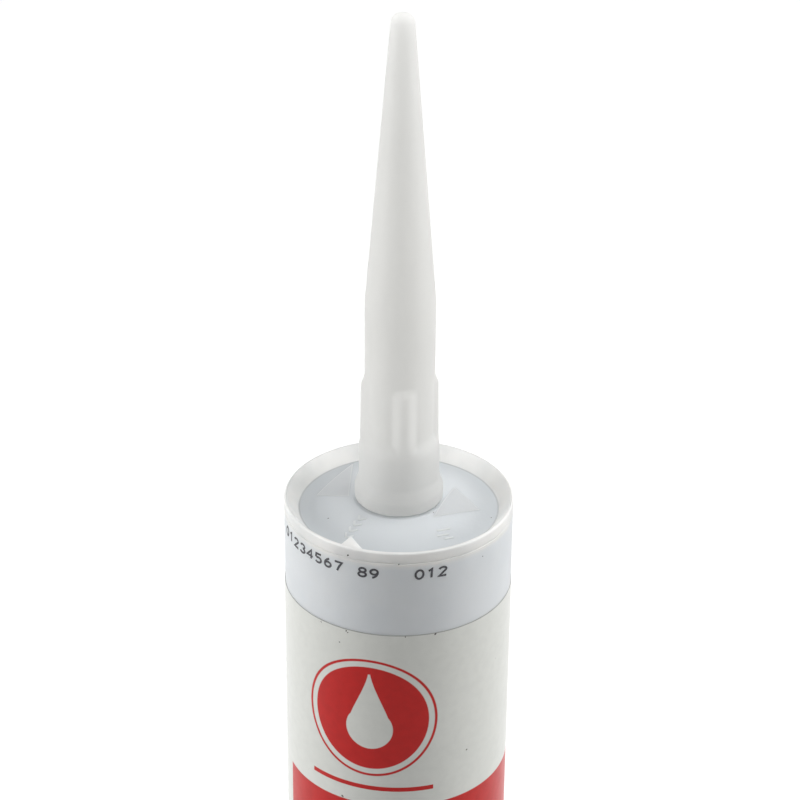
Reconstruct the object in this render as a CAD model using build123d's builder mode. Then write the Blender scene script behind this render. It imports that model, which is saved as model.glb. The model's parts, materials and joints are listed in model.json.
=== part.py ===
"""A 310 ml caulk tube: a moulded barrel with its screwed-on nozzle, its piston, its fill and its label.

The tube stands upright on its rear rim. The origin is the centre of that rim, +Z runs along the tube
towards the nozzle, and the front of the label faces -Y. All sizes are in millimetres.
"""

import os
from math import cos, radians, sin

from build123d import *

# Barrel
barrel_length = 215.0  # from the rear rim to the top of the front lip
barrel_od = 49.0
barrel_wall = 1.3
mouth_depth = 10.0  # the bore is a little wider here, to lead the piston in
mouth_relief = 0.3
rim_chamfer = 0.4

# Front lip and the head that is sunk inside it
lip_width = 1.2
lip_outer_round = 0.7
lip_inner_round = 0.2
recess_depth = 3.0
recess_run = 1.85  # how far the wall of the recess leans inwards on its way down
recess_round = 0.6
head_rise = 2.4  # the head is a shallow cone, highest round the spout
head_thickness = 1.8
groove_drop = 2.5  # the parting groove, below the top of the lip
groove_depth = 0.15
groove_height = 0.4

# Moulded gusset between the lip and the head
gusset_azimuth = -116.0
gusset_width = 6.0
gusset_tip_width = 0.5
gusset_reach = 5.4
gusset_toe = 1.0  # its inner end slopes over this distance
gusset_skew = 2.4  # its inner end lies this far to one side
gusset_drop = 0.25  # the ridge starts this far below the top of the lip
gusset_fall = 0.25  # and falls this much on its way in
gusset_pitch = 0.15  # how steep its two upper faces are
gusset_draft = 0.4  # how far its sides lean outwards on their way down
gusset_sink = 0.6  # its foot lies this far inside the head's edge

# Spout, closed at its tip until it is cut open
spout_od = 11.6
spout_bore = 6.0
spout_height = 13.6  # above the seat
spout_cap = 1.0
spout_round = 1.4

# Nozzle
thread_room = 1.0  # between the spout and the collar's bore, on the radius: the thread stands in it
collar_wall = 1.75
collar_height = 13.6
shoulder_height = 2.2
flange_lip = 0.9  # how far the flange stands out from the collar
flange_height = 3.2
flange_flare = 2.6
flange_round = 1.3
seat_margin = 0.2  # flat of the head outside the flange
stem_od = 14.7
stem_wall = 1.3
stem_top = 46.5  # all heights of the nozzle are above the seat
tip_height = 108.0
tip_od = 4.55  # of the straight taper, at the very top
tip_round = 1.7
taper_wall = 1.15
tip_thickness = 1.6
lead_in = 0.4

# Grip fins round the foot of the nozzle
fin_count = 4
fin_turn = 8.5
fin_width = 3.2
fin_top = 29.4
fin_slope = 1.9  # height of the slanted end of a fin
fin_tip_proud = 0.6  # beyond the stem, at the upper end
fin_tip_round = 0.8
fin_inset = 0.15  # its foot starts this far inside the collar's surface

# Piston
piston_set_back = 12.0  # from the rear rim to the piston's skirt
piston_height = 17.0
piston_wall = 1.2
piston_crown = 1.6
skirt_clearance = 0.4
seal_clearance = 0.1
seal_count = 2
seal_height = 2.0
seal_inset = 1.6  # from the skirt's end, and from its top, to the nearest seal
rib_count = 8
rib_reach = 2.0
rib_height = 6.0
rib_width = 1.2

# Fill
fill_clearance = 0.05
fill_gap = 0.3  # above the piston's crown

# Label
label_thickness = 0.1
label_top_drop = 20.0  # below the top of the lip
label_rear_gap = 8.0  # above the rear rim

# Travels of the moving pieces
nozzle_lift = 30.0
piston_stop_gap = 0.4

# Worked out from the sizes above
barrel_r = barrel_od / 2
bore_r = barrel_r - barrel_wall
mouth_r = bore_r + mouth_relief
lip_r = barrel_r - lip_width
recess_r = lip_r - recess_run
collar_bore_r = spout_od / 2 + thread_room
collar_r = collar_bore_r + collar_wall
flange_r = collar_r + flange_lip
seat_r = flange_r + seat_margin
stem_r = stem_od / 2
stem_bore_r = stem_r - stem_wall
head_slope = head_rise / (recess_r - seat_r)

recess_z = barrel_length - recess_depth
seat_z = recess_z + head_rise
underside_z = seat_z - head_thickness
underside_edge_z = underside_z - head_slope * (bore_r - seat_r)
spout_top_z = seat_z + spout_height
crown_z = piston_set_back + piston_height
piston_travel = underside_z - crown_z - piston_stop_gap


def round_corner(sketch, r, z, radius):
    """Rounds the corner of a half section that is nearest to (r, z)."""
    fillet(sketch.vertices().sort_by_distance((r, z))[0], radius)


def half_plane(azimuth):
    """The upright plane through the tube's axis whose x direction points along this azimuth, in degrees."""
    outwards = Vector(cos(radians(azimuth)), sin(radians(azimuth)), 0)
    return Plane(origin=(0, 0, 0), x_dir=outwards, z_dir=outwards.cross(Vector(0, 0, 1)))


# The barrel, its head and its spout are one moulding.
gusset_z = barrel_length - gusset_drop
gusset_foot_z = recess_z - gusset_sink
gusset_outer_r = (lip_r + barrel_r) / 2
gusset_inner_r = lip_r - gusset_reach
gusset_toe_r = gusset_inner_r - gusset_toe
gusset_toe_z = recess_z + head_slope * (recess_r - gusset_toe_r)

with BuildPart() as barrel:
    with BuildSketch(Plane.XZ) as section:
        with BuildLine():
            Polyline(
                (mouth_r, 0),
                (barrel_r, 0),
                (barrel_r, barrel_length),
                (lip_r, barrel_length),
                (recess_r, recess_z),
                (seat_r, seat_z),
                (spout_od / 2, seat_z),
                (spout_od / 2, spout_top_z),
                (0, spout_top_z),
                (0, spout_top_z - spout_cap),
                (spout_bore / 2, spout_top_z - spout_cap),
                (spout_bore / 2, underside_z),
                (seat_r, underside_z),
                (bore_r, underside_edge_z),
                (bore_r, mouth_depth + mouth_relief),
                (mouth_r, mouth_depth),
                close=True,
            )
        make_face()
        round_corner(section, barrel_r, barrel_length, lip_outer_round)
        round_corner(section, lip_r, barrel_length, lip_inner_round)
        round_corner(section, recess_r, recess_z, recess_round)
        round_corner(section, spout_od / 2, spout_top_z, spout_round)
    revolve(axis=Axis.Z)
    chamfer(barrel.edges().filter_by(GeomType.CIRCLE).group_by(Axis.Z)[0].sort_by(SortBy.RADIUS)[-1], rim_chamfer)
    with BuildSketch(Plane.XZ):
        with Locations((barrel_r, barrel_length - groove_drop)):
            Ellipse(groove_depth, groove_height / 2)
    revolve(axis=Axis.Z, mode=Mode.SUBTRACT)
    outwards = Vector(cos(radians(gusset_azimuth)), sin(radians(gusset_azimuth)), 0)
    for reach, half_width, ridge_z, aside in (
        (gusset_outer_r, gusset_width / 2, gusset_z, 0),
        (gusset_inner_r, gusset_tip_width / 2, gusset_z - gusset_fall, gusset_skew),
        (gusset_toe_r, gusset_tip_width / 2, gusset_toe_z, gusset_skew),
    ):
        foot = half_width + gusset_draft
        shoulder_z = ridge_z - gusset_pitch * half_width
        with BuildSketch(Plane(origin=outwards * reach, x_dir=(0, 0, 1), z_dir=outwards)):
            with BuildLine():
                Polyline(
                    (gusset_foot_z, aside - foot),
                    (shoulder_z, aside - half_width),
                    (ridge_z, aside),
                    (shoulder_z, aside + half_width),
                    (gusset_foot_z, aside + foot),
                    close=True,
                )
            make_face()
    loft(ruled=True)
barrel.part.label = "barrel"


# The nozzle is one hollow moulding with a closed tip.
stem_top_z = seat_z + stem_top
tip_z = seat_z + tip_height
taper = (stem_r - tip_od / 2) / (tip_height - stem_top)
cavity_top = tip_height - tip_thickness
cavity_top_r = tip_od / 2 + taper * tip_thickness - taper_wall
flare_z = seat_z + flange_height + flange_flare
collar_top_z = seat_z + collar_height
collar_bore_top_z = seat_z + spout_height + lead_in
fin_foot_z = collar_top_z - shoulder_height
fin_tip_z = seat_z + fin_top - fin_slope
fin_tip_r = stem_r + fin_tip_proud
fin_root_r = stem_r - stem_wall / 2

with BuildPart() as nozzle:
    with BuildSketch(Plane.XZ) as section:
        with BuildLine():
            Polyline(
                (collar_bore_r + lead_in, seat_z),
                (flange_r, seat_z),
                (flange_r, seat_z + flange_height),
                (collar_r, flare_z),
                (collar_r, collar_top_z),
                (stem_r, collar_top_z + shoulder_height),
                (stem_r, stem_top_z),
                (tip_od / 2, tip_z),
                (0, tip_z),
                (0, seat_z + cavity_top),
                (cavity_top_r, seat_z + cavity_top),
                (stem_bore_r, stem_top_z),
                (stem_bore_r, collar_bore_top_z + shoulder_height),
                (collar_bore_r, collar_bore_top_z),
                (collar_bore_r, seat_z + lead_in),
                close=True,
            )
        make_face()
        round_corner(section, flange_r, seat_z, flange_round)
        round_corner(section, flange_r, seat_z + flange_height, flange_round)
        round_corner(section, collar_r, flare_z, flange_flare)
        round_corner(section, collar_r, collar_top_z, shoulder_height / 2)
        round_corner(section, tip_od / 2, tip_z, tip_round)
    revolve(axis=Axis.Z)
    with BuildSketch(*(half_plane(fin_turn + 360 / fin_count * index) for index in range(fin_count))) as outline:
        with BuildLine():
            Polyline(
                (collar_r - collar_wall / 2, fin_foot_z),
                (collar_r - fin_inset, fin_foot_z),
                (fin_tip_r, fin_tip_z),
                (fin_root_r, fin_tip_z + fin_slope / fin_tip_proud * (fin_tip_r - fin_root_r)),
                (fin_root_r, collar_top_z + shoulder_height),
                close=True,
            )
        make_face()
        round_corner(outline, fin_tip_r, fin_tip_z, fin_tip_round)
    extrude(amount=fin_width / 2, both=True)
nozzle.part.label = "nozzle"


# The piston is a cup that opens to the rear. Its crown is parallel to the head.
skirt_r = bore_r - skirt_clearance
seal_r = bore_r - seal_clearance
cup_r = skirt_r - piston_wall
crown_edge_z = crown_z - head_slope * (skirt_r - seat_r)
cup_edge_z = crown_z - piston_crown - head_slope * (cup_r - seat_r)
seal_first_z = piston_set_back + seal_inset + seal_height / 2
seal_last_z = crown_edge_z - seal_inset - seal_height / 2
seal_step = (seal_last_z - seal_first_z) / (seal_count - 1)

with BuildPart() as piston:
    with BuildSketch(Plane.XZ):
        with BuildLine():
            Polyline(
                (cup_r, piston_set_back),
                (skirt_r, piston_set_back),
                (skirt_r, crown_edge_z),
                (seat_r, crown_z),
                (0, crown_z),
                (0, crown_z - piston_crown),
                (seat_r, crown_z - piston_crown),
                (cup_r, cup_edge_z),
                close=True,
            )
        make_face()
        for index in range(seal_count):
            with Locations((skirt_r, seal_first_z + index * seal_step)):
                Ellipse(seal_r - skirt_r, seal_height / 2)
    revolve(axis=Axis.Z)
    with BuildSketch(*(half_plane(360 / rib_count * index) for index in range(rib_count))):
        with BuildLine():
            Polyline(
                (cup_r + piston_wall / 2, cup_edge_z - rib_height),
                (cup_r + piston_wall / 2, cup_edge_z + piston_crown / 2),
                (cup_r - rib_reach, cup_edge_z + piston_crown / 2),
                (cup_r, cup_edge_z - rib_height),
                close=True,
            )
        make_face()
    extrude(amount=rib_width / 2, both=True)
piston.part.label = "piston"


# The fill takes up the whole of the barrel between the piston and the head, and the spout's bore.
fill_r = bore_r - fill_clearance
fill_spout_r = spout_bore / 2 - fill_clearance
fill_bottom_z = crown_z + fill_gap
fill_top_z = underside_z - fill_clearance

with BuildPart() as sealant:
    with BuildSketch(Plane.XZ):
        with BuildLine():
            Polyline(
                (0, fill_bottom_z),
                (seat_r, fill_bottom_z),
                (fill_r, fill_bottom_z - head_slope * (fill_r - seat_r)),
                (fill_r, fill_top_z - head_slope * (fill_r - seat_r)),
                (seat_r, fill_top_z),
                (fill_spout_r, fill_top_z),
                (fill_spout_r, spout_top_z - spout_cap - fill_clearance),
                (0, spout_top_z - spout_cap - fill_clearance),
                close=True,
            )
        make_face()
    revolve(axis=Axis.Z)
sealant.part.label = "sealant"


# The label is a film wrapped once round the barrel.
with BuildPart() as label:
    with BuildSketch(Plane.XY.offset(label_rear_gap)):
        Circle(barrel_r + label_thickness)
        Circle(barrel_r, mode=Mode.SUBTRACT)
    extrude(amount=barrel_length - label_top_drop - label_rear_gap)
label.part.label = "label"


os.makedirs("parts", exist_ok=True)
export_step(barrel.part, "parts/barrel.step")
export_step(nozzle.part, "parts/nozzle.step")
export_step(piston.part, "parts/piston.step")
export_step(sealant.part, "parts/sealant.step")
export_step(label.part, "parts/label.step")

print(f"rim {barrel_length:.2f}, seat {seat_z:.2f}, tip {tip_z:.2f}, underside {underside_z:.2f}")
print(f"piston travel {piston_travel:.2f}, crown {crown_z:.2f}, spout top {spout_top_z:.2f}")
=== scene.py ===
import json
import logging
import math
from abc import ABC, abstractmethod
from collections.abc import Callable, Sequence
from dataclasses import dataclass, field
from enum import Enum

import bmesh
import bpy
from mathutils import Matrix, Vector


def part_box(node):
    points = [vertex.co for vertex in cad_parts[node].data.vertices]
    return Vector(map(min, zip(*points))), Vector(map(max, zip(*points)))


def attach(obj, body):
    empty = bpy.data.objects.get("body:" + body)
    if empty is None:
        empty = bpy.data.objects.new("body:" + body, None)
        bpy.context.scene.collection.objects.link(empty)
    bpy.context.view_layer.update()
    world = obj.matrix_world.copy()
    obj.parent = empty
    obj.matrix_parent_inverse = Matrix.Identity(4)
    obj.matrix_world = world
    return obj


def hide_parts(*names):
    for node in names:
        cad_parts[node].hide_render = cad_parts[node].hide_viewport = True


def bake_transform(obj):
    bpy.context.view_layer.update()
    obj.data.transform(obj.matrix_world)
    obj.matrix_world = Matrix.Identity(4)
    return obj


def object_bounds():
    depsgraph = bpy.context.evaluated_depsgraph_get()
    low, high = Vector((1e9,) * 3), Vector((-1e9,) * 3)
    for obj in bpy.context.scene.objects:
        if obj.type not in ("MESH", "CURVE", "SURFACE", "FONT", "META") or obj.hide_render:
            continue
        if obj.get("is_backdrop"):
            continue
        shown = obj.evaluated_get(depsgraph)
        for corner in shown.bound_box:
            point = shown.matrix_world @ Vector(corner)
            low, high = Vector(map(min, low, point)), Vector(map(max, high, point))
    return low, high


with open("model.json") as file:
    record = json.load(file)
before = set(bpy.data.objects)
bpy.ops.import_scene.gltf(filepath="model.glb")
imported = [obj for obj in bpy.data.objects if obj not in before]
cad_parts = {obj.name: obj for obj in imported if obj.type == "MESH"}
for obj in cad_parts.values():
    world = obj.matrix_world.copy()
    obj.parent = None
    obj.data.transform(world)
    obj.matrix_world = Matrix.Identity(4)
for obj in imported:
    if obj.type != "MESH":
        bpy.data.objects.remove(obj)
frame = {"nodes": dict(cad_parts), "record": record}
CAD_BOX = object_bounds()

log = logging.getLogger("caulk_tube")

MM = 0.001
Point = tuple[float, float]
Triple = tuple[float, float, float]
Place = Callable[[float, float, float], Triple]


class Body(Enum):
    """The moving bodies that pieces ride on."""

    BARREL = "barrel"
    NOZZLE = "nozzle"
    PISTON = "piston"


class Slot(Enum):
    """The record's material slots."""

    BARREL = "barrel_plastic"
    NOZZLE = "nozzle_plastic"
    PISTON = "piston_plastic"
    SEALANT = "sealant_paste"
    LABEL = "label_film"


# ---------------------------------------------------------------- shader maths


class Expr:
    """A shader value that can be used in arithmetic with other values and with numbers."""

    def __init__(self, shader: "Shader", socket: bpy.types.NodeSocket) -> None:
        """Wraps one output socket.

        Args:
            shader: The node tree that the socket belongs to.
            socket: The output socket that carries the value.
        """
        self.shader = shader
        self.socket = socket

    def math(self, operation: str, *values: "Expr | float") -> "Expr":
        """Adds one Math node.

        Args:
            operation: The node's operation, such as "ADD".
            values: The node's inputs, in order.

        Returns:
            The node's result.
        """
        node = self.shader.node("ShaderNodeMath", {"operation": operation}, dict(enumerate(values)))
        return Expr(self.shader, node.outputs[0])

    def __add__(self, other: "Expr | float") -> "Expr":
        """self + other."""
        return self.math("ADD", self, other)

    def __radd__(self, other: "Expr | float") -> "Expr":
        """other + self."""
        return self.math("ADD", other, self)

    def __sub__(self, other: "Expr | float") -> "Expr":
        """self - other."""
        return self.math("SUBTRACT", self, other)

    def __rsub__(self, other: "Expr | float") -> "Expr":
        """other - self."""
        return self.math("SUBTRACT", other, self)

    def __mul__(self, other: "Expr | float") -> "Expr":
        """self * other."""
        return self.math("MULTIPLY", self, other)

    def __rmul__(self, other: "Expr | float") -> "Expr":
        """other * self."""
        return self.math("MULTIPLY", other, self)

    def __truediv__(self, other: "Expr | float") -> "Expr":
        """self / other."""
        return self.math("DIVIDE", self, other)

    def __abs__(self) -> "Expr":
        """The value without its sign."""
        return self.math("ABSOLUTE", self)

    def __or__(self, other: "Expr | float") -> "Expr":
        """The larger of two values: the union of two masks."""
        return self.math("MAXIMUM", self, other)

    def __and__(self, other: "Expr | float") -> "Expr":
        """The smaller of two values: where two masks overlap."""
        return self.math("MINIMUM", self, other)

    def root(self) -> "Expr":
        """The square root."""
        return self.math("SQRT", self)

    def step(self, low: float, high: float) -> "Expr":
        """A smooth step from 0 at low to 1 at high, or back where low is above high.

        Args:
            low: The value at which the step starts.
            high: The value at which it ends.

        Returns:
            A value from 0 to 1.
        """
        first, last = min(low, high), max(low, high)
        ends = (0.0, 1.0) if low < high else (1.0, 0.0)
        node = self.shader.node(
            "ShaderNodeMapRange",
            {"interpolation_type": "SMOOTHSTEP"},
            {"Value": self, "From Min": first, "From Max": last, "To Min": ends[0], "To Max": ends[1]},
        )
        return Expr(self.shader, node.outputs["Result"])

    def band(self, low: float, high: float, soft: float) -> "Expr":
        """A mask that is 1 between low and high.

        Args:
            low: The lower limit.
            high: The upper limit.
            soft: How wide each edge is.

        Returns:
            The mask, from 0 to 1.
        """
        return self.step(low - soft / 2, low + soft / 2) & self.step(high + soft / 2, high - soft / 2)


class Shader:
    """A material's or the world's node tree, with every node made by one method."""

    def __init__(self, tree: bpy.types.NodeTree) -> None:
        """Empties the tree.

        Args:
            tree: The node tree to build in.
        """
        self.tree = tree
        tree.nodes.clear()

    def node(
        self, kind: str, settings: dict[str, object] | None = None, inputs: dict[object, object] | None = None
    ) -> bpy.types.Node:
        """Adds a node.

        Args:
            kind: The node's type name.
            settings: Its own settings, which are set before its inputs.
            inputs: A value, an expression or an output socket for each input, by name or by place.

        Returns:
            The new node.
        """
        made = self.tree.nodes.new(kind)
        for key, value in (settings or {}).items():
            setattr(made, key, value)
        for key, value in (inputs or {}).items():
            socket = made.inputs[key]
            if isinstance(value, Expr):
                self.tree.links.new(value.socket, socket)
            elif isinstance(value, bpy.types.NodeSocket):
                self.tree.links.new(value, socket)
            else:
                socket.default_value = value
        return made

    def value(self, node: bpy.types.Node, output: str | int = 0) -> Expr:
        """One of a node's outputs, as an expression."""
        return Expr(self, node.outputs[output])

    def place(self) -> tuple[bpy.types.NodeSocket, Expr, Expr, Expr]:
        """Where a surface point is in the object's own frame, in millimetres.

        Returns:
            The point as a vector socket, and its x, y and z.
        """
        coordinates = self.node("ShaderNodeTexCoord").outputs["Object"]
        scaled = self.node(
            "ShaderNodeVectorMath", {"operation": "SCALE"}, {0: coordinates, "Scale": 1 / MM}
        )
        split = self.node("ShaderNodeSeparateXYZ", None, {0: scaled.outputs[0]})
        return scaled.outputs[0], self.value(split, 0), self.value(split, 1), self.value(split, 2)

    def stretched(self, vector: bpy.types.NodeSocket, scale: Triple) -> bpy.types.NodeSocket:
        """The vector with each of its parts scaled."""
        node = self.node("ShaderNodeVectorMath", {"operation": "MULTIPLY"}, {0: vector, 1: scale})
        return node.outputs[0]

    def noise(self, vector: bpy.types.NodeSocket, scale: float, detail: float = 2.0) -> Expr:
        """Smooth noise round 0.5.

        Args:
            vector: Where the noise is read.
            scale: How many features there are in a millimetre.
            detail: How many finer layers are added.

        Returns:
            The noise, from 0 to 1.
        """
        inputs = {"Vector": vector, "Scale": scale, "Detail": detail, "Roughness": 0.5}
        return self.value(self.node("ShaderNodeTexNoise", None, inputs), 0)

    def mix(self, share: Expr | float, first: object, second: object) -> bpy.types.NodeSocket:
        """Blends two colours.

        Args:
            share: 0 for the first colour, 1 for the second.
            first: A colour or a colour socket.
            second: A colour or a colour socket.

        Returns:
            The blended colour's socket.
        """
        inputs = {0: share, 6: rgba(first), 7: rgba(second)}
        return self.node("ShaderNodeMix", {"data_type": "RGBA"}, inputs).outputs[2]

    def bump(self, height: Expr, depth: float) -> bpy.types.NodeSocket:
        """A bumped normal.

        Args:
            height: The height map, from 0 to 1.
            depth: What 1 stands for, in millimetres.

        Returns:
            The normal's socket.
        """
        inputs = {"Strength": 1.0, "Distance": depth * MM, "Height": height}
        return self.node("ShaderNodeBump", None, inputs).outputs[0]


def rgba(colour: object) -> object:
    """A colour of three parts with alpha added, or anything else as it is."""
    return (*colour, 1.0) if isinstance(colour, tuple) and len(colour) == 3 else colour


def dimmed(colour: Triple, share: float) -> Triple:
    """A colour with each of its parts multiplied by a share."""
    return tuple(share * part for part in colour)


# ---------------------------------------------------------------- finishes

Surface = tuple[object, Expr | float, bpy.types.NodeSocket | None]


@dataclass(frozen=True)
class Finish(ABC):
    """A surface finish. Colours are linear. A thin milky wall lets light through in a share of its own."""

    name: str
    roughness: float = 0.4
    specular: float = 0.5
    subsurface: float = 0.0
    scatter_mm: float = 3.0
    glow_share: float = 0.0
    glow_tone: Triple = (1.0, 1.0, 1.0)

    def material(self) -> bpy.types.Material:
        """Builds the finish.

        Returns:
            The material.
        """
        made = bpy.data.materials.new(self.name)
        made.use_nodes = True
        shader = Shader(made.node_tree)
        colour, roughness, normal = self.surface(shader)
        inputs = {
            "Base Color": rgba(colour),
            "Roughness": roughness,
            "Specular IOR Level": self.specular,
            "Subsurface Weight": self.subsurface,
            "Subsurface Radius": (1.0, 0.95, 0.9),
            "Subsurface Scale": self.scatter_mm * MM,
        }
        if normal is not None:
            inputs["Normal"] = normal
        body = shader.node("ShaderNodeBsdfPrincipled", None, inputs)
        if self.glow_share:
            glow = shader.node("ShaderNodeBsdfTranslucent", None, {"Color": rgba(self.glow_tone)})
            layers = {0: self.glow(shader), 1: body.outputs[0], 2: glow.outputs[0]}
            body = shader.node("ShaderNodeMixShader", None, layers)
        shader.node("ShaderNodeOutputMaterial", None, {"Surface": body.outputs[0]})
        return made

    @abstractmethod
    def surface(self, shader: Shader) -> Surface:
        """What changes over the surface.

        Args:
            shader: The material's node tree.

        Returns:
            The colour, the roughness and the normal, if it is bumped.
        """

    def glow(self, shader: Shader) -> Expr | float:
        """The share of the light that comes through the wall."""
        return self.glow_share


@dataclass(frozen=True)
class MouldedPlastic(Finish):
    """Milky moulded polyethylene with a faint orange peel and a cloudy tone."""

    tone: Triple = (0.8, 0.8, 0.78)
    cloud: Triple = (0.74, 0.75, 0.74)
    clouds_in_mm: float = 0.09
    peel_mm: float = 0.02
    peel_in_mm: float = 1.1
    gloss_change: float = 0.12

    def surface(self, shader: Shader) -> Surface:
        """Cloudy colour, slightly uneven gloss and orange peel."""
        point, _, _, _ = shader.place()
        return shader.mix(self.clouds(shader, point), self.tone, self.cloud), *self.skin(shader, point)

    def clouds(self, shader: Shader, point: bpy.types.NodeSocket) -> Expr:
        """A soft mask of the patches that take the second tone."""
        return shader.noise(point, self.clouds_in_mm, 3.0).step(0.35, 0.7)

    def skin(self, shader: Shader, point: bpy.types.NodeSocket) -> tuple[Expr, bpy.types.NodeSocket]:
        """The skin that the mould leaves.

        Args:
            shader: The material's node tree.
            point: Where the surface point is, in millimetres.

        Returns:
            The roughness and the normal.
        """
        peel = shader.noise(point, self.peel_in_mm)
        return self.roughness + (peel - 0.5) * self.gloss_change, shader.bump(peel, self.peel_mm)


@dataclass(frozen=True)
class CollaredPlastic(MouldedPlastic):
    """Milky plastic with painted shade: less light comes through in an oval in front of and behind the spout
    that its collar hides.
    """

    # The core settings place an oval of painted shade, in front of and behind the spout, where less light comes
    # through.
    core_low: float = 0.0
    core_high: float = 1.0
    core_reach: float = 8.55
    core_shade_share: float = 0.1
    core_squeeze: float = 0.62
    core_edge: float = 1.25
    core_middle: float = 0.2

    def glow(self, shader: Shader) -> Expr | float:
        """The share of the light that comes through, which is lower in an oval in front of and behind the spout:
        painted shade of the spout.

        Args:
            shader: The material's node tree.

        Returns:
            The share, as a value over the surface.
        """
        _, x, _, z = shader.place()
        middle, half = (self.core_low + self.core_high) / 2, (self.core_high - self.core_low) / 2
        up = (z - middle) / half
        across = x / (self.core_squeeze * self.core_reach)
        # Painted shade: an oval centred on the front and the back of the collar where less light comes through.
        spout_shade = (across * across + up * up).root().step(self.core_edge, self.core_middle)
        return self.glow_share - spout_shade * (self.core_shade_share * self.glow_share)


@dataclass(frozen=True)
class FilledBarrelPlastic(MouldedPlastic):
    """The barrel's plastic: creamy where nothing is behind it, cool and grey where the fill is."""

    behind_fill: Triple = (0.735, 0.76, 0.775)
    behind_cloud: Triple = (0.705, 0.735, 0.755)
    rim: float = 215.0
    floor_radius: float = 21.4
    recess_depth: float = 3.0
    head_tone: Triple = (0.665, 0.695, 0.715)
    # Painted shade: the colour that the head darkens to towards the lip wall.
    head_wall_shade: Triple = (0.57, 0.6, 0.62)
    head_slope: float = 0.2
    head_shade_from: float = 12.0
    fill_starts: float = 0.6
    fill_shows: float = -1.4
    head_soft: float = 0.15
    gusset_from: float = 16.0
    gusset_soft: float = 0.2
    gusset_foot: float = 0.25
    gusset_clear: float = 0.5
    # Painted shade: the colour of a dark line where the head meets the lip wall, placed by the settings below.
    corner: Triple = (0.4, 0.41, 0.41)
    corner_shade_share: float = 0.5
    corner_inside: float = 0.25
    corner_outside: float = 0.1
    corner_half_height: float = 0.4
    corner_soft: float = 0.2

    def surface(self, shader: Shader) -> Surface:
        """Puts the cool tone below the head on the outside and on the head, with painted shade that darkens the
        head towards the lip wall and a painted shade line round the head's edge where it meets the wall.

        Args:
            shader: The material's node tree.

        Returns:
            The colour, the roughness and the normal.
        """
        point, x, y, z = shader.place()
        radius = (x * x + y * y).root()
        edge, floor = self.floor_radius, self.rim - self.recess_depth
        below_head = z.step(floor + self.fill_starts, floor + self.fill_shows)
        on_head = radius.step(edge + self.head_soft, edge - self.head_soft)
        filled = (below_head | on_head) & (1.0 - self.on_gusset(radius, z))
        clouds = self.clouds(shader, point)
        empty_tone = shader.mix(clouds, self.tone, self.cloud)
        wall_tone = shader.mix(clouds, self.behind_fill, self.behind_cloud)
        # Painted shade: the head darkens from head_shade_from out towards the lip wall.
        head_tone = shader.mix(radius.step(self.head_shade_from, edge), self.head_tone, self.head_wall_shade)
        toned = shader.mix(filled, empty_tone, shader.mix(on_head, wall_tone, head_tone))
        # Painted shade: a dark line round the head's edge where it meets the lip wall.
        round_edge = radius.band(edge - self.corner_inside, edge + self.corner_outside, self.corner_soft)
        at_floor = z.band(floor - self.corner_half_height, floor + self.corner_half_height, self.corner_soft)
        line = (round_edge & at_floor) * self.corner_shade_share
        return shader.mix(line, toned, self.corner), *self.skin(shader, point)

    def on_gusset(self, radius: Expr, z: Expr) -> Expr:
        """A mask of what stands above the outer part of the head, which is the gusset and the lip.

        Args:
            radius: The distance from the axis, in millimetres.
            z: The height, in millimetres.

        Returns:
            The mask.
        """
        head = (self.floor_radius - radius) * self.head_slope + (self.rim - self.recess_depth)
        outer = radius.step(self.gusset_from - self.gusset_soft, self.gusset_from)
        return (z - head).step(self.gusset_foot, self.gusset_clear) & outer


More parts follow.
